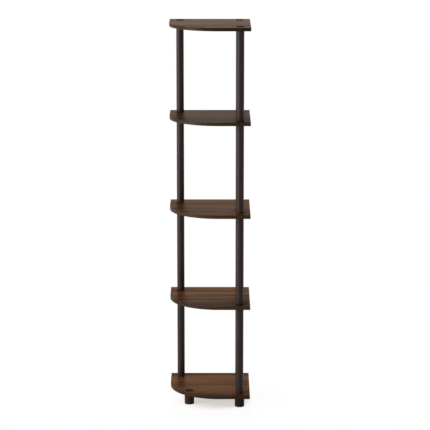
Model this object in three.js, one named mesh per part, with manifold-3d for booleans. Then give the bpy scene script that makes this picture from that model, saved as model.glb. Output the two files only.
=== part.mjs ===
// Five-tier corner shelf unit: boards on screw-together tube columns.
// Millimetres, +Z up. The origin is on the floor under the middle of the boards. The room's
// corner is at (+X, +Y), so the boards' rounded corner is at (-X, -Y).
import * as THREE from 'three';
import { mergeVertices } from 'three/addons/utils/BufferGeometryUtils.js';
import Module from 'manifold-3d';

const wasm = await Module();
wasm.setup();

// Boards
const shelfCount = 5;
const boardWidth = 300;
const boardThickness = 13;
const cornerRadius = 182;
const bayHeight = 332; // clear height between two boards
const columnInset = 38.5; // from a board's straight edges to the axis of a column
const frontLegInset = 72.5; // from the left and front edges to the axis of the fourth leg

// Strip glued round a board's edge
const bandThickness = 1;
const bandRounding = 0.4;
const glueLine = 0.1;

// Column tubes
const tubeDiameter = 28;
const tubeWall = 1.6;

// Screw joint: a stud goes down through a board into the socket below it
const studDiameter = 12;
const studReach = 14; // how far the stud goes into its socket
const studTipChamfer = 1.2;
const threadClearance = 0.3;
const boardHoleClearance = 0.5;
const socketSpare = 1.5; // free depth under the stud's tip
const socketFloor = 2;
const mouthChamfer = 0.7;

// Moulded plugs pressed into both ends of a tube
const rimThickness = 1.5;
const rimSetback = 0.2; // how far a rim lies inside the tube's outside
const plugDepth = 16; // how far the stud plug goes into its tube
const plugWall = 2;
const plugFloor = 2.5;
const plugLeadIn = 0.8;
const plugClearance = 0.3;
const crushRibHeight = 0.8;
const crushRibWidth = 1.4;
const crushRibCount = 4;

// Caps
const capDiameter = 28;
const capRimHeight = 2.6;
const capRimRounding = 0.7;
const capDomeRise = 0.8;

// Feet
const footDiameter = 36;
const footHeight = 38;
const footWall = 3.2;
const footPlate = 3;
const footBottomRounding = 1.2;
const footTopRounding = 0.6;
const footBossWall = 2.8;
const footRibWidth = 2;
const footRibRecess = 2.5; // how far the ribs end above the floor
const footRibCount = 4;

// Flat faces that rest on each other, and how far a cut runs past what it cuts
const seatGap = 0.1;
const cutOverrun = 5;

// Facets
const cornerSteps = 20;
const outsideSides = 20;
const insideSides = 12;
const roundingSteps = 2;
const bandRoundingSteps = 1;
const domeSteps = 2;

// Derived sizes
const boardHalf = boardWidth / 2;
const arcCentre = cornerRadius - boardHalf;
const boardPitch = boardThickness + bayHeight;
const tubeRadius = tubeDiameter / 2;
const boreRadius = tubeRadius - tubeWall;
const tubeLength = bayHeight - 2 * rimThickness - 4 * seatGap;
const studRadius = studDiameter / 2;
const studLength = boardThickness + 2 * seatGap + studReach;
const socketRadius = studRadius + threadClearance;
const socketDepth = studReach + socketSpare;
const boardHoleRadius = studRadius + boardHoleClearance;
const rimRadius = tubeRadius - rimSetback;
const ribTipRadius = boreRadius - plugClearance;
const plugRadius = ribTipRadius - crushRibHeight;
const footRadius = footDiameter / 2;

const finishes = {
  laminate: { color: 0x5e4737, roughness: 0.5, metalness: 0 },
  band: { color: 0x5a4333, roughness: 0.45, metalness: 0 },
  tube: { color: 0x413230, roughness: 0.38, metalness: 0 },
  moulding: { color: 0x362a27, roughness: 0.5, metalness: 0 },
};

// Columns, and the fourth leg under the rounded corner
const nearWall = boardHalf - columnInset;
const frontLegPlace = frontLegInset - boardHalf;
const columns = [
  { name: 'left', x: -nearWall, y: nearWall },
  { name: 'corner', x: nearWall, y: nearWall },
  { name: 'right', x: nearWall, y: -nearWall },
];
const frontLeg = { name: 'front', x: frontLegPlace, y: frontLegPlace };

// Height of a board's underside and of its top, counted from the lowest board
function undersideOf(level) {
  return footHeight + seatGap + level * boardPitch;
}

function topOf(level) {
  return undersideOf(level) + boardThickness;
}

// A closed three.js geometry as a solid that can be cut and joined
function toSolid(geometry) {
  const bare = geometry.clone();
  bare.deleteAttribute('normal');
  bare.deleteAttribute('uv');
  const welded = mergeVertices(bare);
  const corners = welded.index.array;
  const kept = [];
  for (let i = 0; i < corners.length; i += 3) {
    const [a, b, c] = [corners[i], corners[i + 1], corners[i + 2]];
    if (a !== b && b !== c && c !== a) {
      kept.push(a, b, c);
    }
  }
  return new wasm.Manifold(new wasm.Mesh({
    numProp: 3,
    vertProperties: new Float32Array(welded.attributes.position.array),
    triVerts: new Uint32Array(kept),
  }));
}

function toGeometry(solid) {
  const mesh = solid.getMesh();
  const geometry = new THREE.BufferGeometry();
  geometry.setAttribute('position', new THREE.BufferAttribute(mesh.vertProperties, 3));
  geometry.setIndex(new THREE.BufferAttribute(mesh.triVerts, 1));
  geometry.computeVertexNormals();
  return geometry;
}

// A profile of [radius, height] points, from the axis at the bottom round to the axis at the
// top or back to its first point, turned about the Z axis
function turned(profile, sides) {
  const points = profile.map(([radius, height]) => new THREE.Vector2(radius, height));
  return new THREE.LatheGeometry(points, sides).rotateX(Math.PI / 2);
}

// A quarter round on a turned edge, from the flat below it up to the outside wall
function lowerRound(radius, height, rounding) {
  const points = [];
  for (let step = 0; step <= roundingSteps; step += 1) {
    const angle = (step / roundingSteps) * (Math.PI / 2);
    const inward = rounding * (1 - Math.sin(angle));
    const upward = rounding * (1 - Math.cos(angle));
    points.push([radius - inward, height + upward]);
  }
  return points;
}

// The same turned over, from the outside wall up to the flat above it
function upperRound(radius, height, rounding) {
  return lowerRound(radius, -height, rounding).map(([out, up]) => [out, -up]).reverse();
}

// A board's outline, drawn in by inset from the outside of its edge
function boardOutline(inset) {
  const edge = boardHalf - inset;
  const radius = cornerRadius - inset;
  const outline = [new THREE.Vector2(edge, edge), new THREE.Vector2(-edge, edge)];
  for (let step = 0; step <= cornerSteps; step += 1) {
    const angle = Math.PI + (step / cornerSteps) * (Math.PI / 2);
    const x = arcCentre + radius * Math.cos(angle);
    const y = arcCentre + radius * Math.sin(angle);
    outline.push(new THREE.Vector2(x, y));
  }
  outline.push(new THREE.Vector2(edge, -edge));
  return new THREE.Shape(outline);
}

function roundHole(place, radius) {
  const points = [];
  for (let side = 0; side < insideSides; side += 1) {
    const angle = (side / insideSides) * 2 * Math.PI;
    points.push(new THREE.Vector2(place.x + radius * Math.cos(angle), place.y + radius * Math.sin(angle)));
  }
  return new THREE.Path(points);
}

// A board without its edge band, bored at the given places; z = 0 is its underside
function boardGeometry(places) {
  const shape = boardOutline(bandThickness + glueLine);
  shape.holes = places.map((place) => roundHole(place, boardHoleRadius));
  return new THREE.ExtrudeGeometry(shape, { depth: boardThickness, bevelEnabled: false });
}

// The edge band: the board's full outline with rounded arrises, less the board inside it
function bandGeometry() {
  const whole = new THREE.ExtrudeGeometry(boardOutline(0), {
    depth: boardThickness - 2 * bandRounding,
    bevelThickness: bandRounding,
    bevelSize: bandRounding,
    bevelOffset: -bandRounding,
    bevelSegments: bandRoundingSteps,
  }).translate(0, 0, bandRounding);
  const inside = new THREE.ExtrudeGeometry(boardOutline(bandThickness), {
    depth: boardThickness + 2 * cutOverrun,
    bevelEnabled: false,
  }).translate(0, 0, -cutOverrun);
  return toGeometry(toSolid(whole).subtract(toSolid(inside)));
}

// A length of tube, z = 0 at its lower end
function tubeGeometry() {
  return turned([
    [tubeRadius, 0],
    [tubeRadius, tubeLength],
    [boreRadius, tubeLength],
    [boreRadius, 0],
    [tubeRadius, 0],
  ], outsideSides);
}

// The lower part of a stud, up to the face at z = 0 that it hangs from
function studProfile() {
  return [
    [0, -studLength],
    [studRadius - studTipChamfer, -studLength],
    [studRadius, studTipChamfer - studLength],
    [studRadius, 0],
  ];
}

// Fins round a solid: each runs from one radius to the other and from low to high
function withFins(solid, fin) {
  const length = fin.to - fin.from;
  const height = fin.high - fin.low;
  let result = solid;
  for (let count = 0; count < fin.count; count += 1) {
    const blade = new THREE.BoxGeometry(length, fin.width, height);
    blade.translate(fin.from + length / 2, 0, fin.low + height / 2);
    blade.rotateZ((count / fin.count) * 2 * Math.PI);
    result = result.add(toSolid(blade));
  }
  return result;
}

// Plug for a tube's lower end: a ribbed cup that points up into the tube, a rim that the tube
// stands on, and the stud below it. z = 0 is the rim's underside.
function studPlugGeometry() {
  const plugTop = rimThickness + plugDepth;
  const cupRadius = plugRadius - plugWall;
  const body = toSolid(turned([
    ...studProfile(),
    [rimRadius, 0],
    [rimRadius, rimThickness],
    [plugRadius, rimThickness],
    [plugRadius, plugTop - plugLeadIn],
    [plugRadius - plugLeadIn, plugTop],
    [cupRadius, plugTop],
    [cupRadius, plugFloor],
    [0, plugFloor],
  ], insideSides));
  return toGeometry(withFins(body, {
    from: plugRadius - plugWall / 2,
    to: ribTipRadius,
    low: rimThickness / 2,
    high: plugTop - plugLeadIn,
    width: crushRibWidth,
    count: crushRibCount,
  }));
}

// Plug for a tube's upper end, with the socket that takes the stud from above. z = 0 is the
// rim's top.
function socketPlugGeometry() {
  const plugBottom = -socketDepth - socketFloor;
  const body = toSolid(turned([
    [0, plugBottom],
    [plugRadius - plugLeadIn, plugBottom],
    [plugRadius, plugBottom + plugLeadIn],
    [plugRadius, -rimThickness],
    [rimRadius, -rimThickness],
    [rimRadius, 0],
    [socketRadius + mouthChamfer, 0],
    [socketRadius, -mouthChamfer],
    [socketRadius, -socketDepth],
    [0, -socketDepth],
  ], insideSides));
  return toGeometry(withFins(body, {
    from: plugRadius - plugWall / 2,
    to: ribTipRadius,
    low: plugBottom + plugLeadIn,
    high: -rimThickness / 2,
    width: crushRibWidth,
    count: crushRibCount,
  }));
}

// Cap: a low head with a rounded rim and a slight dome, on a stud. z = 0 is its underside.
function capGeometry() {
  const capRadius = capDiameter / 2;
  const domeRadius = capRadius - capRimRounding;
  const dome = [];
  for (let step = 1; step <= domeSteps; step += 1) {
    const outShare = 1 - step / domeSteps;
    dome.push([domeRadius * outShare, capRimHeight + capDomeRise * (1 - outShare * outShare)]);
  }
  return turned([
    ...studProfile(),
    [capRadius, 0],
    ...upperRound(capRadius, capRimHeight, capRimRounding),
    ...dome,
  ], outsideSides);
}

// Foot: a cup that stands on its open end, with a boss for the stud in its top plate and ribs
// from the boss to the wall. z = 0 is the floor.
function footGeometry() {
  const cupRadius = footRadius - footWall;
  const bossRadius = socketRadius + footBossWall;
  const plateUnderside = footHeight - footPlate;
  const socketBottom = footHeight - socketDepth;
  const body = toSolid(turned([
    [0, socketBottom - socketFloor],
    [bossRadius, socketBottom - socketFloor],
    [bossRadius, plateUnderside],
    [cupRadius, plateUnderside],
    [cupRadius, 0],
    ...lowerRound(footRadius, 0, footBottomRounding),
    ...upperRound(footRadius, footHeight, footTopRounding),
    [socketRadius + mouthChamfer, footHeight],
    [socketRadius, footHeight - mouthChamfer],
    [socketRadius, socketBottom],
    [0, socketBottom],
  ], outsideSides));
  return toGeometry(withFins(body, {
    from: bossRadius - footBossWall / 2,
    to: cupRadius + footWall / 2,
    low: footRibRecess,
    high: plateUnderside + footPlate / 2,
    width: footRibWidth,
    count: footRibCount,
  }));
}

function piece(name, geometry, finish, place, height) {
  const mesh = new THREE.Mesh(geometry, new THREE.MeshStandardMaterial(finish));
  mesh.name = name;
  mesh.position.set(place.x, place.y, height);
  return mesh;
}

// The boards, numbered from the lowest up. Only the lowest is bored for the fourth leg.
function boardGroup() {
  const group = new THREE.Group();
  const middle = { x: 0, y: 0 };
  const band = bandGeometry();
  for (let level = 0; level < shelfCount; level += 1) {
    const places = level === 0 ? [...columns, frontLeg] : columns;
    const height = undersideOf(level);
    group.add(piece(`board_${level + 1}`, boardGeometry(places), finishes.laminate, middle, height));
    group.add(piece(`edge_band_${level + 1}`, band, finishes.band, middle, height));
  }
  return group;
}

// One column: in each bay a tube between its two plugs
function columnGroup(column) {
  const group = new THREE.Group();
  const tube = tubeGeometry();
  const studPlug = studPlugGeometry();
  const socketPlug = socketPlugGeometry();
  for (let bay = 0; bay < shelfCount - 1; bay += 1) {
    const label = `${column.name}_${bay + 1}`;
    const rimHeight = topOf(bay) + seatGap;
    const tubeHeight = rimHeight + rimThickness + seatGap;
    const socketHeight = tubeHeight + tubeLength + seatGap + rimThickness;
    group.add(piece(`stud_plug_${label}`, studPlug, finishes.moulding, column, rimHeight));
    group.add(piece(`tube_${label}`, tube, finishes.tube, column, tubeHeight));
    group.add(piece(`socket_plug_${label}`, socketPlug, finishes.moulding, column, socketHeight));
  }
  return group;
}

// The foot under a column or leg, and the cap that ends it on the board of the given level
function endsGroup(leg, capLevel) {
  const group = new THREE.Group();
  group.add(piece(`foot_${leg.name}`, footGeometry(), finishes.moulding, leg, 0));
  group.add(piece(`cap_${leg.name}`, capGeometry(), finishes.moulding, leg, topOf(capLevel) + seatGap));
  return group;
}

const shelfUnit = new THREE.Group();
shelfUnit.add(boardGroup());
for (const column of columns) {
  shelfUnit.add(columnGroup(column), endsGroup(column, shelfCount - 1));
}
shelfUnit.add(endsGroup(frontLeg, 0));

export default shelfUnit;
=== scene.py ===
import math

import bmesh
import bpy
from bpy.props import FloatProperty, FloatVectorProperty, IntProperty, PointerProperty
from mathutils import Matrix, Vector


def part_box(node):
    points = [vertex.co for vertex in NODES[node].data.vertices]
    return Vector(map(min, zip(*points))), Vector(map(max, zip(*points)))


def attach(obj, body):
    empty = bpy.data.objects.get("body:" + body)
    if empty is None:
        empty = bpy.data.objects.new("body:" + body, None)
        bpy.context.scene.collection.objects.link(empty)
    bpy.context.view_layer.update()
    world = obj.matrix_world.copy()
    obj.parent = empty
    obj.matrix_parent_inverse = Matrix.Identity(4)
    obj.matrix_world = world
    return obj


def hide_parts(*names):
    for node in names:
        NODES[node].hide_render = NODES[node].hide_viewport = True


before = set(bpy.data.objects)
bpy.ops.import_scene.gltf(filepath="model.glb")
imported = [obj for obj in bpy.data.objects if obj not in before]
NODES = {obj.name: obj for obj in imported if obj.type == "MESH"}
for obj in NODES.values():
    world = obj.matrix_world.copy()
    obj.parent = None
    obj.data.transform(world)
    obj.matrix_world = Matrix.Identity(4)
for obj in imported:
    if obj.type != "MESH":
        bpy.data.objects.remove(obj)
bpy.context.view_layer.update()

bl_info = {
    "name": "Corner Shelf Unit",
    "version": (1, 0, 0),
    "blender": (4, 5, 0),
    "location": "View3D > Sidebar > Corner Shelf",
    "description": "Builds the pieces of a five-tier corner shelf unit round its frame",
    "category": "Object",
}

LEVELS = sum(name.startswith("board_") for name in NODES)
COLUMNS = ("left", "corner", "right")
LEGS = (*COLUMNS, "front")
BAYS = [f"{column}_{bay}" for column in COLUMNS for bay in range(1, LEVELS)]
UP = Vector((0, 0, 1))
FULL_TURN = 2 * math.pi
QUARTER_TURN = math.pi / 2
WHITE = (1.0, 1.0, 1.0, 1.0)
BLACK = (0.0, 0.0, 0.0, 1.0)

# Two places closer than TOUCH count as one, and points closer than WELD are merged
TOUCH = 1e-5
WELD = 1e-6

# Faces of a rounding, round a turned piece, round a hole and from a cap's rim to its middle
ROUND_STEPS = 3
TURN_STEPS = 64
HOLE_STEPS = 32
DOME_STEPS = 8

# Edges sharper than the first stay sharp, and edges sharper than the second get rounded
SMOOTH_ANGLE = math.radians(32)
ARRIS_ANGLE = math.radians(60)

# Half a thread ridge's width at its foot and at its crest, as shares of the pitch
RIDGE_FOOT = 0.3
RIDGE_CREST = 0.12

# Layers of the walnut print, each with its scale along the grain, across it and through it
BANDS = {"scale": (1.3, 21.0, 9.0), "detail": 2.0, "low": 0.33, "high": 0.66}
STREAKS = {"scale": (3.0, 130.0, 11.0), "detail": 3.0, "roughness": 0.6, "low": 0.3, "high": 0.7}
WARM_PATCHES = {"scale": (2.1, 12.0, 7.0), "detail": 1.0, "low": 0.45, "high": 0.75, "top": 0.6}
FINE_LINES = {"scale": (7.0, 480.0, 30.0), "detail": 3.0, "roughness": 0.7, "low": 0.42, "high": 0.7}
PORES = {"scale": (70.0, 1700.0, 60.0), "detail": 1.0, "low": 0.58, "high": 0.72}
WANDER = {"scale": (2.4, 6.0, 9.0), "detail": 1.0}
RING_STRETCH = (0.11, 1.0, 0.35)
RINGS = {"Scale": 26.0, "Distortion": 2.2, "Detail": 2.0, "Detail Scale": 1.4,
         "Detail Roughness": 0.6}

# How far the grain wanders from side to side, and how much each layer counts
GRAIN_WANDER = 0.024
BAND_SHARE = 0.62
STREAK_SHARE = 0.22
RING_SHARE = 0.16
LINE_SHARE = 0.45
PORE_SHARE = 0.6
PRINT_CONTRAST = 1.5

# Pores fade on light streaks: the range of the streak, and the pores' strength at its two ends
PORE_FADE = (0.2, 0.8, 1.0, 0.4)

# Roughness and relief of the print, and what streaks and pores add to them
PRINT_ROUGHNESS = 0.45
STREAK_ROUGHNESS = -0.05
PORE_ROUGHNESS = 0.12
STREAK_HEIGHT = 0.3
PORE_HEIGHT = -0.7

# Texture of the plastic: slow clouds, a fine mottle and the pebbles of its skin
CLOUD = {"scale": (14.0, 14.0, 9.0), "detail": 2.0}
MOTTLE = {"scale": (230.0, 230.0, 230.0), "detail": 2.0}
PEBBLE_SCALE = (1300.0, 1300.0, 1300.0)
PEBBLE_SMOOTHNESS = 0.6
CLOUD_SHARE = 0.4
MOTTLE_SHARE = 0.6

# The range of clouds and mottle together that runs from the dark tone to the light one
PLASTIC_TONES = (0.35, 0.65)

# The range of the mottle, and the roughness at its two ends
PLASTIC_ROUGHNESS = (0.3, 0.7, 0.42, 0.52)


# What the frame says

def span_of(node):
    low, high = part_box(node)
    return high - low


def underside_of(node):
    """The middle of the underside of a node's box."""
    low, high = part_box(node)
    return Vector(((low.x + high.x) / 2, (low.y + high.y) / 2, low.z))


def arc_centre_of(node):
    """The centre of a board's rounded corner, where its straight front and left edges end."""
    low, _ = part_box(node)
    points = [vertex.co for vertex in NODES[node].data.vertices]
    x = min(point.x for point in points if point.y - low.y < TOUCH)
    y = min(point.y for point in points if point.x - low.x < TOUCH)
    return Vector((x, y, 0))


def columns_through(level):
    """The columns that a board is bored for. Only the lowest one also takes the fourth leg."""
    return LEGS if level == 1 else COLUMNS


# Settings that a user would change

def length(name, description, default):
    return FloatProperty(
        name=name, description=description, default=default,
        min=0, soft_max=2, precision=5, unit="LENGTH",
    )


def tone(name, description, default):
    return FloatVectorProperty(
        name=name, description=description, default=default,
        min=0, max=1, size=3, subtype="COLOR",
    )


def position(name, description, default):
    return FloatVectorProperty(
        name=name, description=description, default=default, size=3, subtype="TRANSLATION",
    )


def power(name, description, default):
    return FloatProperty(name=name, description=description, default=default, min=0, unit="POWER")


def share(name, description, default, top=1):
    return FloatProperty(name=name, description=description, default=default, min=0, max=top)


class BoardSettings(bpy.types.PropertyGroup):
    hole_radius: length("Hole radius", "Radius of the holes that the studs go through", 0.0065)
    edge_thickness: length("Edge band thickness", "Thickness of the strip round a board", 0.001)
    edge_rounding: length("Edge rounding", "Rounding of the strip's arrises", 0.0008)
    glue_line: length("Glue line", "Gap between a board and its edge band", 0.0001)
    corner_steps: IntProperty(
        name="Corner steps", description="Faces round the large rounded corner", default=72, min=8,
    )
    cuts: FloatVectorProperty(
        name="Cuts", description="Where in the walnut print each board is cut, lowest board first",
        size=5, default=(149.79, 76.54, 25.824, 17.31, 150.83), unit="LENGTH",
    )
    shades: FloatVectorProperty(
        name="Shades", description="How light each board's print came out, lowest board first",
        size=5, default=(1.0, 1.0, 0.88, 0.72, 0.94), min=0, max=1,
    )


class TubeSettings(bpy.types.PropertyGroup):
    wall: length("Tube wall", "Wall thickness of a tube", 0.0016)
    end_rounding: length("End rounding", "Rounding of a tube's cut ends", 0.0004)


class PlugSettings(bpy.types.PropertyGroup):
    rim: length("Rim thickness", "Thickness of the rim between a tube and a board", 0.0015)
    rim_rounding: length("Rim rounding", "Rounding of the rim's edges", 0.0003)
    depth: length("Plug depth", "How far the lower plug goes into its tube", 0.016)
    wall: length("Plug wall", "Wall thickness of the lower plug's cup", 0.002)
    floor: length("Plug floor", "Thickness of the lower plug's floor", 0.0025)
    lead_in: length("Lead-in", "Chamfer on the end that enters the tube", 0.0008)
    fit: length("Fit", "Clearance between the crush ribs and the tube", 0.0003)
    rib_height: length("Crush rib height", "How far a crush rib stands out", 0.0008)
    rib_width: length("Crush rib width", "Width of a crush rib", 0.0014)
    rib_count: IntProperty(name="Crush ribs", description="Crush ribs on a plug", default=4, min=2)


class ThreadSettings(bpy.types.PropertyGroup):
    pitch: length("Pitch", "Rise of the screw thread in one turn", 0.003)
    radius: length("Stud radius", "Radius of the stud over its thread", 0.006)
    depth: length("Thread depth", "Height of the thread's ridge", 0.0008)
    clearance: length("Clearance", "Gap between the stud's thread and the socket's", 0.0003)
    spare: length("Spare depth", "Free depth of a socket under the stud's tip", 0.0015)
    reach: length("Reach", "How far a stud goes into its socket", 0.014)
    floor: length("Socket floor", "Thickness of a socket's floor", 0.002)
    mouth: length("Mouth chamfer", "Chamfer at the mouth of a socket", 0.0007)
    seat: length("Seat", "Gap between a rim and the board that it seats on", 0.0001)


class CapSettings(bpy.types.PropertyGroup):
    rim_height: length("Rim height", "Height of the cap's rim", 0.0026)
    rounding: length("Rounding", "Rounding of the cap's rim", 0.0007)


class FootSettings(bpy.types.PropertyGroup):
    wall: length("Foot wall", "Wall thickness of a foot", 0.0032)
    plate: length("Top plate", "Thickness of a foot's top plate", 0.003)
    boss_wall: length("Boss wall", "Wall round a foot's socket", 0.0028)
    lower_rounding: length("Lower rounding", "Rounding of a foot's lower edge", 0.0012)
    upper_rounding: length("Upper rounding", "Rounding of a foot's upper edge", 0.0006)
    rib_width: length("Rib width", "Width of a rib inside a foot", 0.002)
    rib_recess: length("Rib recess", "How far the ribs end above the floor", 0.0025)
    rib_count: IntProperty(name="Ribs", description="Ribs inside a foot", default=4, min=2)


class FinishSettings(bpy.types.PropertyGroup):
    laminate_light: tone("Laminate light", "Lighter tone of the walnut print", (0.146, 0.0589, 0.0180))
    laminate_dark: tone("Laminate dark", "Darker tone of the walnut print", (0.0174, 0.0087, 0.0035))
    laminate_warm: tone("Laminate warm", "Reddish tone of the walnut print", (0.138, 0.0503, 0.0144))
    edge_light: tone("Edge light", "Lighter tone of the edge band", (0.0510, 0.0242, 0.0094))
    edge_dark: tone("Edge dark", "Darker tone of the edge band", (0.0124, 0.0059, 0.0023))
    tube_light: tone("Tube light", "Lighter tone of the tubes", (0.023, 0.0115, 0.0096))
    tube_dark: tone("Tube dark", "Darker tone of the tubes", (0.0148, 0.0071, 0.0060))
    moulding_light: tone("Moulding light", "Lighter tone of the mouldings", (0.0340, 0.0208, 0.0180))
    moulding_dark: tone("Moulding dark", "Darker tone of the mouldings", (0.0245, 0.0152, 0.0130))
    cap_light: tone("Cap light", "Lighter tone of the caps", (0.0250, 0.0137, 0.0085))
    cap_dark: tone("Cap dark", "Darker tone of the caps", (0.0190, 0.0100, 0.0060))
    laminate_gloss: share("Laminate gloss", "Strength of the sheen on the boards", 0.01)
    edge_gloss: share("Edge gloss", "Strength of the sheen on the edge bands", 0.06)
    tube_gloss: share("Tube gloss", "Strength of the sheen on the tubes", 0.17)
    moulding_gloss: share("Moulding gloss", "Strength of the sheen on plugs and feet", 0.02)
    cap_gloss: share("Cap gloss", "Strength of the sheen on the caps", 0.01)
    print_relief: length("Print relief", "Depth of the pores in the walnut print", 0.00003)
    tube_relief: length("Tube relief", "Height of the pebbles on a tube", 0.00002)
    moulding_relief: length("Moulding relief", "Height of the pebbles on a moulding", 0.00006)
    tube_stretch: share("Tube stretch", "Scale of a tube's texture along the tube", 0.12)


class StageSettings(bpy.types.PropertyGroup):
    floor_size: length("Floor size", "Width of the studio floor", 80)
    floor_tone: tone("Floor tone", "Colour of the studio floor", (0.90, 0.89, 0.87))
    shade_middle: position("Shade middle", "Middle of the shade on the floor", (0.02, -0.033, 0))
    shade_core: length("Shade core", "Radius of the deepest shade", 0.085)
    shade_edge: length("Shade edge", "Radius at which the shade has almost gone", 0.15)
    shade_end: length("Shade end", "Radius from which the floor is plain white", 0.4)
    core_white: share("Core white", "Share of plain white in the deepest shade", 0.6)
    edge_white: share("Edge white", "Share of plain white at the shade's edge", 0.94)
    # Painted bounce light: a warm tint painted into the floor's white under the lowest board
    painted_bounce_core: length("Warm core", "Radius of the warm light under the lowest board", 0.1)
    painted_bounce_tone: tone("Warm tone", "Colour of the light under the lowest board", (1.0, 0.972, 0.91))
    world_light: share("Surrounding light", "Strength of the light from all round", 0.35, 4)
    world_tone: tone("Surrounding tone", "Colour of the light from all round", (1.0, 0.995, 0.985))
    key_power: power("Key power", "Power of the tall softbox at the left", 112)
    key_place: position("Key place", "Where the left softbox hangs", (-2.5, -1.15, 1.2))
    key_aim: position("Key aim", "What the left softbox faces", (0, 0, 0.8))
    key_width: length("Key width", "Width of the left softbox", 0.9)
    key_height: length("Key height", "Height of the left softbox", 2.3)
    key_tone: tone("Key tone", "Colour of the left softbox", (1.0, 0.985, 0.97))
    upper_power: power("Upper power", "Power of the softbox high up behind the unit", 350)
    upper_place: position("Upper place", "Where the upper softbox hangs", (-0.18, 4.4, 6.0))
    upper_aim: position("Upper aim", "What the upper softbox faces", (0, 0, 0.6))
    upper_width: length("Upper width", "Width of the upper softbox", 1.0)
    upper_height: length("Upper height", "Height of the upper softbox", 1.9)
    upper_tone: tone("Upper tone", "Colour of the upper softbox", (1.0, 0.99, 0.98))
    camera_place: position("Camera place", "Where the camera stands", (0.0193, -7.0411, 2.2079))
    camera_tilt: FloatProperty(
        name="Camera tilt", description="How far the camera looks down",
        default=0.2094, subtype="ANGLE",
    )
    lens: FloatProperty(name="Lens", description="Focal length in millimetres", default=160.8, min=1)


class ShelfUnitSettings(bpy.types.PropertyGroup):
    board: PointerProperty(type=BoardSettings, name="Boards", description="Boards and edge bands")
    tube: PointerProperty(type=TubeSettings, name="Tubes", description="Column tubes")
    plug: PointerProperty(type=PlugSettings, name="Plugs", description="Plugs in the tubes' ends")
    thread: PointerProperty(type=ThreadSettings, name="Thread", description="Studs and sockets")
    cap: PointerProperty(type=CapSettings, name="Caps", description="Caps on the columns")
    foot: PointerProperty(type=FootSettings, name="Feet", description="Feet under the columns")
    finish: PointerProperty(type=FinishSettings, name="Finishes", description="Tones and sheens")
    stage: PointerProperty(type=StageSettings, name="Stage", description="Studio and camera")


def settings():
    return bpy.context.scene.corner_shelf


# Node trees

class TreeBuilder:
    """Adds nodes to a shader tree. An input may be given a value or another node's output."""

    def __init__(self, tree):
        self.tree = tree

    def add(self, kind, inputs=None, **options):
        node = self.tree.nodes.new(kind)
        for option, value in options.items():
            setattr(node, option, value)
        for key, value in (inputs or {}).items():
            socket = node.inputs[key]
            if isinstance(value, bpy.types.NodeSocket):
                self.tree.links.new(value, socket)
            else:
                socket.default_value = value
        return node

    def stretch(self, vector, scale):
        return self.add("ShaderNodeMapping", {"Vector": vector, "Scale": scale}).outputs["Vector"]

    def moved(self, vector, axis, amount):
        """The vector with an amount added on one axis."""
        aside = self.add("ShaderNodeCombineXYZ", {axis: amount}).outputs["Vector"]
        return self.add("ShaderNodeVectorMath", {0: vector, 1: aside},
                        operation="ADD").outputs["Vector"]

    def noise(self, vector, scale, detail, roughness=0.5):
        """Noise with its own scale on each axis."""
        return self.add("ShaderNodeTexNoise", {
            "Vector": self.stretch(vector, scale), "Scale": 1.0,
            "Detail": detail, "Roughness": roughness,
        }).outputs["Fac"]

    def ramp(self, value, low, high, to_low=0.0, to_high=1.0):
        """The value's range from low to high, spread smoothly over to_low to to_high."""
        return self.add("ShaderNodeMapRange", {
            "Value": value, "From Min": low, "From Max": high,
            "To Min": to_low, "To Max": to_high,
        }, interpolation_type="SMOOTHSTEP", clamp=True).outputs["Result"]

    def layer(self, vector, scale, detail, low, high, roughness=0.5, top=1.0):
        """Noise whose range from low to high is spread over 0 to top."""
        return self.ramp(self.noise(vector, scale, detail, roughness), low, high, 0.0, top)

    def math(self, operation, *values, clamp=False):
        inputs = dict(enumerate(values))
        return self.add("ShaderNodeMath", inputs, operation=operation,
                        use_clamp=clamp).outputs["Value"]

    def mix(self, factor, first, second):
        """Two colours mixed by a factor."""
        return self.add("ShaderNodeMix", {0: factor, 6: first, 7: second},
                        data_type="RGBA").outputs[2]


def fresh_tree(owner):
    """A builder for the emptied node tree of a material or a world."""
    owner.use_nodes = True
    owner.node_tree.nodes.clear()
    return TreeBuilder(owner.node_tree)


def new_group(name, inputs, outputs):
    """An empty shader group, its builder, its input node and its output node."""
    group = bpy.data.node_groups.new(name, "ShaderNodeTree")
    for label, kind in inputs:
        group.interface.new_socket(label, in_out="INPUT", socket_type=kind)
    for label, kind in outputs:
        group.interface.new_socket(label, in_out="OUTPUT", socket_type=kind)
    build = TreeBuilder(group)
    return group, build, build.add("NodeGroupInput"), build.add("NodeGroupOutput")


VECTOR, COLOUR, NUMBER = "NodeSocketVector", "NodeSocketColor", "NodeSocketFloat"


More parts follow.
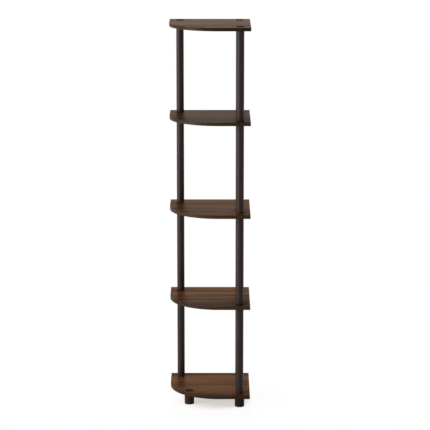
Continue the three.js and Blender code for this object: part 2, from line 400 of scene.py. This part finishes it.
def walnut_grain():
    """Shared by boards and edge bands: a walnut print whose grain runs along the vector's X."""
    name = "Walnut Grain"
    if name in bpy.data.node_groups:
        return bpy.data.node_groups[name]
    group, build, given, out = new_group(
        name,
        [("Vector", VECTOR), ("Light Tone", COLOUR), ("Dark Tone", COLOUR), ("Warm Tone", COLOUR)],
        [("Color", COLOUR), ("Roughness", NUMBER), ("Height", NUMBER)],
    )
    vector = given.outputs["Vector"]
    # The grain wanders a little to both sides
    wander = build.noise(vector, **WANDER)
    drift = build.math("MULTIPLY", build.math("SUBTRACT", wander, 0.5), GRAIN_WANDER)
    grain = build.moved(vector, "Y", drift)
    bands = build.layer(grain, **BANDS)
    streaks = build.layer(grain, **STREAKS)
    rings = build.add("ShaderNodeTexWave", {"Vector": build.stretch(grain, RING_STRETCH), **RINGS},
                      wave_type="RINGS", rings_direction="SPHERICAL").outputs["Fac"]
    mixed = build.math("MULTIPLY", bands, BAND_SHARE)
    mixed = build.math("MULTIPLY_ADD", streaks, STREAK_SHARE, mixed)
    mixed = build.math("MULTIPLY_ADD", rings, RING_SHARE, mixed, clamp=True)
    mixed = build.math("POWER", mixed, PRINT_CONTRAST)
    light, dark, warm = (given.outputs[f"{kind} Tone"] for kind in ("Light", "Dark", "Warm"))
    colour = build.mix(mixed, dark, light)
    warmth = build.layer(grain, **WARM_PATCHES)
    colour = build.mix(build.math("MULTIPLY", warmth, mixed), colour, warm)
    # Fine lines follow the grain between the broader bands
    lines = build.layer(grain, **FINE_LINES)
    colour = build.mix(build.math("MULTIPLY", lines, LINE_SHARE), colour, dark)
    # Pores are short dark strokes along the grain
    pores = build.layer(grain, **PORES)
    pores = build.math("MULTIPLY", pores, build.ramp(streaks, *PORE_FADE))
    colour = build.mix(build.math("MULTIPLY", pores, PORE_SHARE), colour, dark)
    build.tree.links.new(colour, out.inputs["Color"])
    rough = build.math("MULTIPLY_ADD", streaks, STREAK_ROUGHNESS, PRINT_ROUGHNESS)
    rough = build.math("MULTIPLY_ADD", pores, PORE_ROUGHNESS, rough)
    build.tree.links.new(rough, out.inputs["Roughness"])
    height = build.math("MULTIPLY", streaks, STREAK_HEIGHT)
    height = build.math("MULTIPLY_ADD", pores, PORE_HEIGHT, height)
    build.tree.links.new(height, out.inputs["Height"])
    return group


def moulded_texture():
    """Shared by every plastic piece: a fine pebbled skin and a slight mottle."""
    name = "Moulded Texture"
    if name in bpy.data.node_groups:
        return bpy.data.node_groups[name]
    group, build, given, out = new_group(
        name,
        [("Vector", VECTOR), ("Light Tone", COLOUR), ("Dark Tone", COLOUR)],
        [("Color", COLOUR), ("Roughness", NUMBER), ("Height", NUMBER)],
    )
    vector = given.outputs["Vector"]
    cloud = build.noise(vector, **CLOUD)
    mottle = build.noise(vector, **MOTTLE)
    mixed = build.math("MULTIPLY_ADD", mottle, MOTTLE_SHARE,
                       build.math("MULTIPLY", cloud, CLOUD_SHARE))
    mixed = build.ramp(mixed, *PLASTIC_TONES)
    colour = build.mix(mixed, given.outputs["Dark Tone"], given.outputs["Light Tone"])
    build.tree.links.new(colour, out.inputs["Color"])
    rough = build.ramp(mottle, *PLASTIC_ROUGHNESS)
    build.tree.links.new(rough, out.inputs["Roughness"])
    pebbles = build.add("ShaderNodeTexVoronoi", {
        "Vector": build.stretch(vector, PEBBLE_SCALE), "Scale": 1.0,
        "Smoothness": PEBBLE_SMOOTHNESS,
    }, feature="SMOOTH_F1").outputs["Distance"]
    build.tree.links.new(pebbles, out.inputs["Height"])
    return group


def new_finish(name, group, vector_from, tones, gloss, relief, stretch=(1.0, 1.0, 1.0)):
    """A material whose colour, roughness and relief come from a shared group."""
    material = bpy.data.materials.new(name)
    build = fresh_tree(material)
    if vector_from == "UV":
        vector = build.add("ShaderNodeUVMap", uv_map="Along the edge").outputs["UV"]
    else:
        vector = build.add("ShaderNodeTexCoord").outputs["Object"]
    if vector_from == "Cut":
        cut = build.add("ShaderNodeAttribute", attribute_name="Cut").outputs["Fac"]
        vector = build.moved(vector, "Z", cut)
    texture = build.add("ShaderNodeGroup", node_tree=group)
    build.tree.links.new(build.stretch(vector, stretch), texture.inputs["Vector"])
    for label, value in tones.items():
        texture.inputs[label].default_value = (*value, 1.0)
    colour = texture.outputs["Color"]
    if vector_from == "Cut":
        shade = build.add("ShaderNodeAttribute", attribute_name="Shade").outputs["Fac"]
        colour = build.mix(shade, BLACK, colour)
    bump = build.add("ShaderNodeBump", {
        "Strength": 1.0, "Distance": relief, "Height": texture.outputs["Height"],
    })
    shader = build.add("ShaderNodeBsdfPrincipled", {
        "Base Color": colour, "Roughness": texture.outputs["Roughness"],
        "Normal": bump.outputs["Normal"], "Specular IOR Level": gloss, "Metallic": 0.0,
    })
    end = build.add("ShaderNodeOutputMaterial")
    build.tree.links.new(shader.outputs["BSDF"], end.inputs["Surface"])
    return material


def walnut_laminate():
    tones = settings().finish
    return new_finish("Walnut laminate", walnut_grain(), "Cut", {
        "Light Tone": tones.laminate_light, "Dark Tone": tones.laminate_dark,
        "Warm Tone": tones.laminate_warm,
    }, tones.laminate_gloss, tones.print_relief)


def walnut_edge():
    tones = settings().finish
    return new_finish("Walnut edge band", walnut_grain(), "UV", {
        "Light Tone": tones.edge_light, "Dark Tone": tones.edge_dark,
        "Warm Tone": tones.edge_light,
    }, tones.edge_gloss, tones.print_relief)


def tube_plastic():
    tones = settings().finish
    return new_finish("Tube plastic", moulded_texture(), "Object", {
        "Light Tone": tones.tube_light, "Dark Tone": tones.tube_dark,
    }, tones.tube_gloss, tones.tube_relief, (1.0, 1.0, tones.tube_stretch))


def moulded_plastic(name):
    """The finish of the plugs and the feet, under its own name for each."""
    tones = settings().finish
    return new_finish(name, moulded_texture(), "Object", {
        "Light Tone": tones.moulding_light, "Dark Tone": tones.moulding_dark,
    }, tones.moulding_gloss, tones.moulding_relief)


def cap_plastic():
    tones = settings().finish
    return new_finish("Cap plastic", moulded_texture(), "Object", {
        "Light Tone": tones.cap_light, "Dark Tone": tones.cap_dark,
    }, tones.cap_gloss, tones.moulding_relief)


# Shapes

def to_mesh(name, bm):
    """Merges a shape's doubles, turns its faces outwards and makes it a mesh."""
    bmesh.ops.remove_doubles(bm, verts=bm.verts, dist=WELD)
    bmesh.ops.recalc_face_normals(bm, faces=bm.faces)
    mesh = bpy.data.meshes.new(name)
    bm.to_mesh(mesh)
    bm.free()
    return mesh


def add_piece(name, mesh, material, nodes):
    """A finished piece that stands for CAD nodes and rides on the frame's one body."""
    mesh.name = name
    mesh.materials.clear()
    mesh.materials.append(material)
    mesh.shade_smooth()
    mesh.set_sharp_from_angle(angle=SMOOTH_ANGLE)
    piece = bpy.data.objects.new(name, mesh)
    bpy.context.scene.collection.objects.link(piece)
    shading = piece.modifiers.new("Even shading", "WEIGHTED_NORMAL")
    shading.keep_sharp = True
    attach(piece, "root")
    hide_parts(*nodes)


def placed(mesh, place):
    """A copy of a mesh, moved to its place."""
    copy = mesh.copy()
    copy.transform(Matrix.Translation(place))
    return copy


def add_copies(kind, shape, finish, ends):
    """A copy of a shape for each node of its kind. The ends of the nodes' names tell them apart."""
    for end in ends:
        node = f"{kind}_{end}"
        add_piece(f"column_{node}", placed(shape, underside_of(node)), finish, [node])


def turned(profile):
    """A profile of (radius, height) points, from axis to axis or closed, turned round Z."""
    bm = bmesh.new()
    points = [bm.verts.new((radius, 0, height)) for radius, height in profile]
    edges = [bm.edges.new(pair) for pair in zip(points, points[1:])]
    if profile[0][0] > 0:
        edges.append(bm.edges.new((points[-1], points[0])))
    bmesh.ops.spin(bm, geom=points + edges, cent=(0, 0, 0), axis=UP, angle=FULL_TURN,
                   steps=TURN_STEPS, use_merge=True)
    bmesh.ops.remove_doubles(bm, verts=bm.verts, dist=WELD)
    return bm


def round_edges(bm, rims, rounding):
    """Rounds the turned edges at the given (radius, height) pairs."""
    def lies_on(vertex, radius, height):
        return (abs(vertex.co.z - height) < TOUCH
                and abs(math.hypot(vertex.co.x, vertex.co.y) - radius) < TOUCH)

    edges = [edge for edge in bm.edges
             if any(all(lies_on(vertex, *rim) for vertex in edge.verts) for rim in rims)]
    bmesh.ops.bevel(bm, geom=edges, offset=rounding, affect="EDGES", segments=ROUND_STEPS,
                    profile=0.5, material=-1)


def combined(mesh, other, operation):
    """Two closed meshes joined, or the other cut out of the first, as one mesh."""
    scene = bpy.context.scene
    pair = [bpy.data.objects.new(part.name, part) for part in (mesh, other)]
    for part in pair:
        scene.collection.objects.link(part)
    cut = pair[0].modifiers.new("Cut", "BOOLEAN")
    cut.operation = operation
    cut.object = pair[1]
    cut.solver = "EXACT"
    bpy.context.view_layer.update()
    evaluated = pair[0].evaluated_get(bpy.context.evaluated_depsgraph_get())
    result = bpy.data.meshes.new_from_object(evaluated)
    for part in pair:
        bpy.data.objects.remove(part)
    bm = bmesh.new()
    bm.from_mesh(result)
    bmesh.ops.dissolve_degenerate(bm, dist=WELD, edges=bm.edges)
    return to_mesh(mesh.name, bm)


def blades(count, start, end, width, low, high):
    """Upright ribs round the Z axis, each running out from start to end."""
    bm = bmesh.new()
    for number in range(count):
        turn = Matrix.Rotation(number / count * FULL_TURN, 4, "Z")
        middle = Matrix.Translation(((start + end) / 2, 0, (low + high) / 2))
        sizes = Matrix.Diagonal((end - start, width, high - low, 1))
        bmesh.ops.create_cube(bm, size=1, matrix=turn @ middle @ sizes)
    return to_mesh("blades", bm)


def threaded_rod(root, crest, growth, low, high, datum):
    """A closed rod with a helical ridge, cut off square at low and high. A ridge stands at
    height datum where the rod faces +X; growth widens the ridge on both sides."""
    bm = bmesh.new()
    pitch = settings().thread.pitch
    foot_half = RIDGE_FOOT * pitch + growth
    crest_half = RIDGE_CREST * pitch + growth
    # The ridge runs past both ends, for the cuts to trim
    first = math.floor((low - datum) / pitch) - 2
    last = math.ceil((high - datum) / pitch) + 1
    points = []
    for number in range(first, last + 1):
        middle = datum + number * pitch
        ridge = [(root, -foot_half), (crest, -crest_half), (crest, crest_half), (root, foot_half)]
        points += [bm.verts.new((radius, 0, middle + rise)) for radius, rise in ridge]
    edges = [bm.edges.new(pair) for pair in zip(points, points[1:])]
    bmesh.ops.spin(bm, geom=points + edges, cent=(0, 0, 0), axis=UP, angle=FULL_TURN,
                   steps=TURN_STEPS, dvec=(0, 0, pitch / TURN_STEPS))
    bmesh.ops.remove_doubles(bm, verts=bm.verts, dist=WELD)
    for height, side in ((low, {"clear_inner": True}), (high, {"clear_outer": True})):
        cut = bmesh.ops.bisect_plane(
            bm, geom=bm.verts[:] + bm.edges[:] + bm.faces[:], dist=WELD,
            plane_co=(0, 0, height), plane_no=UP, **side,
        )
        rim = [part for part in cut["geom_cut"] if isinstance(part, bmesh.types.BMEdge)]
        bmesh.ops.edgeloop_fill(bm, edges=rim)
    return to_mesh("threaded rod", bm)


def stud_rod(low, high, datum):
    """The thread of a stud."""
    thread = settings().thread
    return threaded_rod(thread.radius - thread.depth, thread.radius, 0, low, high, datum)


def socket_cutter(low, high, datum):
    """What a threaded socket leaves out, its chamfered mouth apart."""
    thread = settings().thread
    crest = thread.radius + thread.clearance
    root = thread.radius - thread.depth + thread.clearance
    return threaded_rod(root, crest, thread.clearance / 2, low, high, datum)


def mouth_cutter(top):
    """The cone that a socket's chamfered mouth leaves out."""
    thread = settings().thread
    radius = thread.radius + thread.clearance
    over = thread.mouth
    return to_mesh("mouth", turned([
        (0, top - thread.mouth), (radius, top - thread.mouth),
        (radius + thread.mouth + over, top + over), (0, top + over),
    ]))


def shelf_outline(bm, inset, height):
    """The edges of the boards' outline, drawn in by inset from the outside of the edge band."""
    low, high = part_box("edge_band_1")
    centre = arc_centre_of("edge_band_1")
    radius = centre.x - low.x - inset
    start = bm.verts.new((centre.x - radius, centre.y, height))
    before = set(bm.edges)
    spun = bmesh.ops.spin(bm, geom=[start], cent=(centre.x, centre.y, height), axis=UP,
                          angle=QUARTER_TURN, steps=settings().board.corner_steps)
    last = next(part for part in spun["geom_last"] if isinstance(part, bmesh.types.BMVert))
    corners = [(high.x - inset, low.y + inset), (high.x - inset, high.y - inset),
               (low.x + inset, high.y - inset)]
    chain = [last, *(bm.verts.new((x, y, height)) for x, y in corners), start]
    for pair in zip(chain, chain[1:]):
        bm.edges.new(pair)
    return [edge for edge in bm.edges if edge not in before]


def raise_faces(bm, faces, height):
    """Extrudes flat faces straight up into a closed body."""
    lifted = bmesh.ops.extrude_face_region(bm, geom=faces)
    tops = [part for part in lifted["geom"] if isinstance(part, bmesh.types.BMVert)]
    bmesh.ops.translate(bm, verts=tops, vec=UP * height)


def board_mesh(level):
    """A board without its edge band, bored for its columns."""
    sizes = settings().board
    node = f"board_{level}"
    height = underside_of(node).z
    bm = bmesh.new()
    shelf_outline(bm, sizes.edge_thickness + sizes.glue_line, height)
    for leg in columns_through(level):
        place = underside_of(f"foot_{leg}")
        bmesh.ops.create_circle(bm, cap_ends=False, segments=HOLE_STEPS,
                                radius=sizes.hole_radius,
                                matrix=Matrix.Translation((place.x, place.y, height)))
    filled = bmesh.ops.triangle_fill(bm, use_beauty=True, use_dissolve=False, edges=bm.edges[:])
    faces = [part for part in filled["geom"] if isinstance(part, bmesh.types.BMFace)]
    raise_faces(bm, faces, span_of(node).z)
    mesh = to_mesh(node, bm)
    for label, values in (("Cut", sizes.cuts), ("Shade", sizes.shades)):
        layer = mesh.attributes.new(label, "FLOAT", "POINT")
        for point in layer.data:
            point.value = values[level - 1]
    return mesh


def edge_run(point, middle, low, high, centre):
    """How far along the board's edge a point lies, counted from the start of the rounded
    corner. The middle of its face says which side it is on."""
    radius = centre.x - low.x
    front = radius * QUARTER_TURN
    right = front + high.x - centre.x
    back = right + high.y - low.y
    if middle.x < centre.x and middle.y < centre.y:
        return radius * math.atan2(centre.y - point.y, centre.x - point.x)
    inward = min((middle.y - low.y, "front"), (high.x - middle.x, "right"),
                 (high.y - middle.y, "back"), (middle.x - low.x, "left"))
    return {
        "front": front + point.x - centre.x,
        "right": right + point.y - low.y,
        "back": back + high.x - point.x,
        "left": centre.y - point.y,
    }[inward[1]]


def edge_band_mesh(level):
    """The strip round a board, its outer arrises rounded, with a map that runs along it."""
    sizes = settings().board
    node = f"edge_band_{level}"
    low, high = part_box(node)
    centre = arc_centre_of(node)
    bm = bmesh.new()
    outside = bm.verts.layers.int.new("outside")
    outer = shelf_outline(bm, 0, low.z)
    for vertex in bm.verts:
        vertex[outside] = 1
    inner = shelf_outline(bm, sizes.edge_thickness, low.z)
    ring = bmesh.ops.bridge_loops(bm, edges=outer + inner)
    raise_faces(bm, ring["faces"], high.z - low.z)
    bmesh.ops.recalc_face_normals(bm, faces=bm.faces)
    arrises = [edge for edge in bm.edges
               if all(vertex[outside] for vertex in edge.verts)
               and edge.calc_face_angle(0) > ARRIS_ANGLE]
    bmesh.ops.bevel(bm, geom=arrises, offset=sizes.edge_rounding, affect="EDGES",
                    segments=ROUND_STEPS, profile=0.5, material=-1)
    along = bm.loops.layers.uv.new("Along the edge")
    for face in bm.faces:
        middle = face.calc_center_median()
        for loop in face.loops:
            point = loop.vert.co
            loop[along].uv = (edge_run(point, middle, low, high, centre), point.z)
    return to_mesh(node, bm)


def tube_mesh(node):
    """A length of tube with eased ends, standing on z = 0."""
    sizes = settings().tube
    span = span_of(node)
    radius, bore = span.x / 2, span.x / 2 - sizes.wall
    bm = turned([(radius, 0), (radius, span.z), (bore, span.z), (bore, 0)])
    round_edges(bm, [(radius, 0), (radius, span.z)], sizes.end_rounding)
    return to_mesh("tube", bm)


def plug_radius_in(node):
    """Radius of a plug between its crush ribs, and at their tips, for the tube around it."""
    sizes = settings().plug
    tips = span_of(node).x / 2 - settings().tube.wall - sizes.fit
    return tips - sizes.rib_height, tips


def stud_plug_mesh(node, tube_node):
    """Plug for a tube's lower end: a ribbed cup, a rim and a threaded stud, tip at z = 0."""
    sizes, thread = settings().plug, settings().thread
    span = span_of(node)
    core, rib_tips = plug_radius_in(tube_node)
    rim = span.x / 2
    seat = span.z - sizes.rim - sizes.depth
    ledge, top, cup = seat + sizes.rim, span.z, core - sizes.wall
    bm = turned([
        (0, seat), (rim, seat), (rim, ledge), (core, ledge), (core, top - sizes.lead_in),
        (core - sizes.lead_in, top), (cup, top), (cup, seat + sizes.floor), (0, seat + sizes.floor),
    ])
    round_edges(bm, [(rim, seat), (rim, ledge)], sizes.rim_rounding)
    body = to_mesh("stud plug", bm)
    ribs = blades(sizes.rib_count, core - sizes.wall / 2, rib_tips, sizes.rib_width,
                  seat + sizes.rim / 2, top - sizes.lead_in)
    body = combined(body, ribs, "UNION")
    datum = thread.reach + thread.seat
    return combined(body, stud_rod(0, seat + sizes.floor / 2, datum), "UNION")


def socket_plug_mesh(node, tube_node):
    """Plug for a tube's upper end, with the threaded socket, lowest point at z = 0."""
    sizes = settings().plug
    span = span_of(node)
    core, rib_tips = plug_radius_in(tube_node)
    rim, top = span.x / 2, span.z
    ledge = top - sizes.rim
    bm = turned([
        (0, 0), (core - sizes.lead_in, 0), (core, sizes.lead_in), (core, ledge),
        (rim, ledge), (rim, top), (0, top),
    ])
    round_edges(bm, [(rim, ledge), (rim, top)], sizes.rim_rounding)
    body = to_mesh("socket plug", bm)
    ribs = blades(sizes.rib_count, core - sizes.wall / 2, rib_tips, sizes.rib_width,
                  sizes.lead_in, top - sizes.rim / 2)
    body = combined(body, ribs, "UNION")
    return with_socket(body, top)


def with_socket(body, top):
    """Cuts the threaded socket and its chamfered mouth into a solid's flat top."""
    thread = settings().thread
    bottom = top - thread.reach - thread.spare
    datum = top + thread.seat
    cutter = socket_cutter(bottom, top + thread.mouth, datum)
    body = combined(body, cutter, "DIFFERENCE")
    return combined(body, mouth_cutter(top), "DIFFERENCE")


def cap_mesh(node):
    """A cap: a low head with a rounded rim and a slight dome on a threaded stud, tip at z = 0."""
    sizes, thread = settings().cap, settings().thread
    span = span_of(node)
    radius, top = span.x / 2, span.z
    seat = span_of("board_1").z + 2 * thread.seat + thread.reach
    rim_top = seat + sizes.rim_height
    rise = top - rim_top
    flat = radius - sizes.rounding
    outs = [flat * math.cos(step / DOME_STEPS * QUARTER_TURN) for step in range(1, DOME_STEPS)]
    dome = [(out, rim_top + rise * (1 - (out / flat) ** 2)) for out in outs]
    bm = turned([(0, seat), (radius, seat), (radius, rim_top), *dome, (0, top)])
    lower_rounding = sizes.rounding / 3
    round_edges(bm, [(radius, rim_top)], sizes.rounding)
    round_edges(bm, [(radius, seat)], lower_rounding)
    body = to_mesh("cap", bm)
    rod = stud_rod(0, seat + sizes.rim_height / 2, thread.reach + thread.seat)
    return combined(body, rod, "UNION")


def foot_mesh(node):
    """A foot: a cup on its open end, with a socket boss under its top plate and ribs."""
    sizes, thread = settings().foot, settings().thread
    span = span_of(node)
    radius, top = span.x / 2, span.z
    cup = radius - sizes.wall
    boss = thread.radius + thread.clearance + sizes.boss_wall
    ceiling = top - sizes.plate
    boss_low = top - thread.reach - thread.spare - thread.floor
    bm = turned([
        (0, boss_low), (boss, boss_low), (boss, ceiling), (cup, ceiling), (cup, 0),
        (radius, 0), (radius, top), (0, top),
    ])
    round_edges(bm, [(radius, 0)], sizes.lower_rounding)
    round_edges(bm, [(radius, top)], sizes.upper_rounding)
    body = to_mesh("foot", bm)
    ribs = blades(sizes.rib_count, boss - sizes.boss_wall / 2, cup + sizes.wall / 2,
                  sizes.rib_width, sizes.rib_recess, ceiling + sizes.plate / 2)
    return with_socket(combined(body, ribs, "UNION"), top)


# Operators, one for each kind of piece

class CORNERSHELF_OT_boards(bpy.types.Operator):
    """Makes the laminated shelf boards"""

    bl_idname = "corner_shelf.boards"
    bl_label = "Make Boards"

    def execute(self, context):
        finish = walnut_laminate()
        for level in range(1, LEVELS + 1):
            add_piece(f"shelf_board_{level}", board_mesh(level), finish,
                      [f"board_{level}"])
        return {"FINISHED"}


class CORNERSHELF_OT_edge_bands(bpy.types.Operator):
    """Makes the strips glued round the boards' edges"""

    bl_idname = "corner_shelf.edge_bands"
    bl_label = "Make Edge Bands"

    def execute(self, context):
        finish = walnut_edge()
        for level in range(1, LEVELS + 1):
            add_piece(f"shelf_edge_{level}", edge_band_mesh(level), finish,
                      [f"edge_band_{level}"])
        return {"FINISHED"}


class CORNERSHELF_OT_tubes(bpy.types.Operator):
    """Makes the column tubes, one for each column and bay"""

    bl_idname = "corner_shelf.tubes"
    bl_label = "Make Tubes"

    def execute(self, context):
        add_copies("tube", tube_mesh("tube_left_1"), tube_plastic(), BAYS)
        return {"FINISHED"}


class CORNERSHELF_OT_plugs(bpy.types.Operator):
    """Makes the moulded plugs in both ends of every tube"""

    bl_idname = "corner_shelf.plugs"
    bl_label = "Make Plugs"

    def execute(self, context):
        finish = moulded_plastic("Plug plastic")
        stud_plug = stud_plug_mesh("stud_plug_left_1", "tube_left_1")
        socket_plug = socket_plug_mesh("socket_plug_left_1", "tube_left_1")
        add_copies("stud_plug", stud_plug, finish, BAYS)
        add_copies("socket_plug", socket_plug, finish, BAYS)
        return {"FINISHED"}


class CORNERSHELF_OT_caps(bpy.types.Operator):
    """Makes the caps that end the columns"""

    bl_idname = "corner_shelf.caps"
    bl_label = "Make Caps"

    def execute(self, context):
        add_copies("cap", cap_mesh("cap_left"), cap_plastic(), LEGS)
        return {"FINISHED"}


class CORNERSHELF_OT_feet(bpy.types.Operator):
    """Makes the four feet"""

    bl_idname = "corner_shelf.feet"
    bl_label = "Make Feet"

    def execute(self, context):
        add_copies("foot", foot_mesh("foot_left"), moulded_plastic("Foot plastic"), LEGS)
        return {"FINISHED"}


def seen_directly(build):
    """1 for what the camera sees, straight or through a reflection or glass, and 0 for light."""
    path = build.add("ShaderNodeLightPath").outputs
    seen = build.math("ADD", path["Is Camera Ray"], path["Is Glossy Ray"])
    return build.math("ADD", seen, path["Is Transmission Ray"], clamp=True)


def set_world(sizes):
    """Soft light from all round, which the camera and reflections see as plain white."""
    world = bpy.data.worlds.new("Studio")
    build = fresh_tree(world)
    lit = build.add("ShaderNodeBackground", {
        "Color": (*sizes.world_tone, 1.0), "Strength": sizes.world_light})
    white = build.add("ShaderNodeBackground", {"Color": WHITE, "Strength": 1.0})
    mixed = build.add("ShaderNodeMixShader", {
        0: seen_directly(build), 1: lit.outputs["Background"], 2: white.outputs["Background"]})
    end = build.add("ShaderNodeOutputWorld")
    build.tree.links.new(mixed.outputs["Shader"], end.inputs["Surface"])
    bpy.context.scene.world = world


def floor_finish(sizes):
    """A pale matt floor that fades to plain white away from the object, with painted warm bounce light
    under the lowest board.
    """
    material = bpy.data.materials.new("Studio floor")
    build = fresh_tree(material)
    place = build.add("ShaderNodeTexCoord").outputs["Object"]
    away = build.add("ShaderNodeVectorMath", {0: place, 1: sizes.shade_middle},
                     operation="DISTANCE").outputs["Value"]
    near = build.ramp(away, sizes.shade_core, sizes.shade_edge, sizes.core_white, sizes.edge_white)
    far = build.ramp(away, sizes.shade_edge, sizes.shade_end)
    white_share = build.math("MULTIPLY_ADD", build.math("SUBTRACT", 1.0, near), far, near)
    # Painted bounce light: the white that the camera sees is tinted warm under the lowest board,
    # standing in for light from the walnut underside
    cool = build.ramp(away, sizes.painted_bounce_core, sizes.shade_edge)
    # warmth here is the painted warm bounce tint, fading to plain white
    warmth = build.mix(cool, (*sizes.painted_bounce_tone, 1.0), WHITE)
    white = build.add("ShaderNodeEmission", {"Color": warmth, "Strength": 1.0})
    matt = build.add("ShaderNodeBsdfDiffuse", {"Color": (*sizes.floor_tone, 1.0)})
    both = build.add("ShaderNodeMixShader", {
        0: build.math("MULTIPLY", white_share, seen_directly(build)),
        1: matt.outputs["BSDF"], 2: white.outputs["Emission"],
    })
    end = build.add("ShaderNodeOutputMaterial")
    build.tree.links.new(both.outputs["Shader"], end.inputs["Surface"])
    return material


def add_softbox(name, place, aim, width, height, watts, colour):
    """A flat lamp that hangs at its place and faces what it is aimed at."""
    data = bpy.data.lights.new(name, "AREA")
    data.shape = "RECTANGLE"
    data.size = width
    data.size_y = height
    data.energy = watts
    data.color = colour
    lamp = bpy.data.objects.new(name, data)
    bpy.context.scene.collection.objects.link(lamp)
    lamp.location = place
    lamp.rotation_euler = (aim - place).to_track_quat("-Z", "Y").to_euler()


class CORNERSHELF_OT_stage(bpy.types.Operator):
    """Sets up the floor, the studio light and the camera"""

    bl_idname = "corner_shelf.stage"
    bl_label = "Set Stage"

    def execute(self, context):
        sizes = settings().stage
        scene = context.scene
        bm = bmesh.new()
        bmesh.ops.create_grid(bm, x_segments=1, y_segments=1, size=sizes.floor_size / 2)
        floor = bpy.data.objects.new("studio_floor", to_mesh("studio_floor", bm))
        floor.data.materials.append(floor_finish(sizes))
        scene.collection.objects.link(floor)
        set_world(sizes)
        add_softbox("Key softbox", sizes.key_place, sizes.key_aim, sizes.key_width,
                    sizes.key_height, sizes.key_power, sizes.key_tone)
        add_softbox("Upper softbox", sizes.upper_place, sizes.upper_aim, sizes.upper_width,
                    sizes.upper_height, sizes.upper_power, sizes.upper_tone)
        data = bpy.data.cameras.new("Camera")
        data.lens = sizes.lens
        camera = bpy.data.objects.new("Camera", data)
        scene.collection.objects.link(camera)
        camera.location = sizes.camera_place
        camera.rotation_euler = (QUARTER_TURN - sizes.camera_tilt, 0, 0)
        scene.camera = camera
        scene.view_settings.view_transform = "Standard"
        return {"FINISHED"}


OPERATORS = (
    CORNERSHELF_OT_boards,
    CORNERSHELF_OT_edge_bands,
    CORNERSHELF_OT_tubes,
    CORNERSHELF_OT_plugs,
    CORNERSHELF_OT_caps,
    CORNERSHELF_OT_feet,
    CORNERSHELF_OT_stage,
)


class CORNERSHELF_PT_pieces(bpy.types.Panel):
    """Lists the steps that build the shelf unit"""

    bl_label = "Corner Shelf Unit"
    bl_idname = "CORNERSHELF_PT_pieces"
    bl_space_type = "VIEW_3D"
    bl_region_type = "UI"
    bl_category = "Corner Shelf"

    def draw(self, context):
        column = self.layout.column(align=True)
        for operator in OPERATORS:
            column.operator(operator.bl_idname)


CLASSES = (
    BoardSettings,
    TubeSettings,
    PlugSettings,
    ThreadSettings,
    CapSettings,
    FootSettings,
    FinishSettings,
    StageSettings,
    ShelfUnitSettings,
    *OPERATORS,
    CORNERSHELF_PT_pieces,
)


def register():
    for cls in CLASSES:
        bpy.utils.register_class(cls)
    bpy.types.Scene.corner_shelf = PointerProperty(type=ShelfUnitSettings)


def unregister():
    del bpy.types.Scene.corner_shelf
    for cls in reversed(CLASSES):
        bpy.utils.unregister_class(cls)


def main():
    register()
    for step in ("boards", "edge_bands", "tubes", "plugs", "caps", "feet", "stage"):
        getattr(bpy.ops.corner_shelf, step)()


if __name__ == "__main__":
    main()
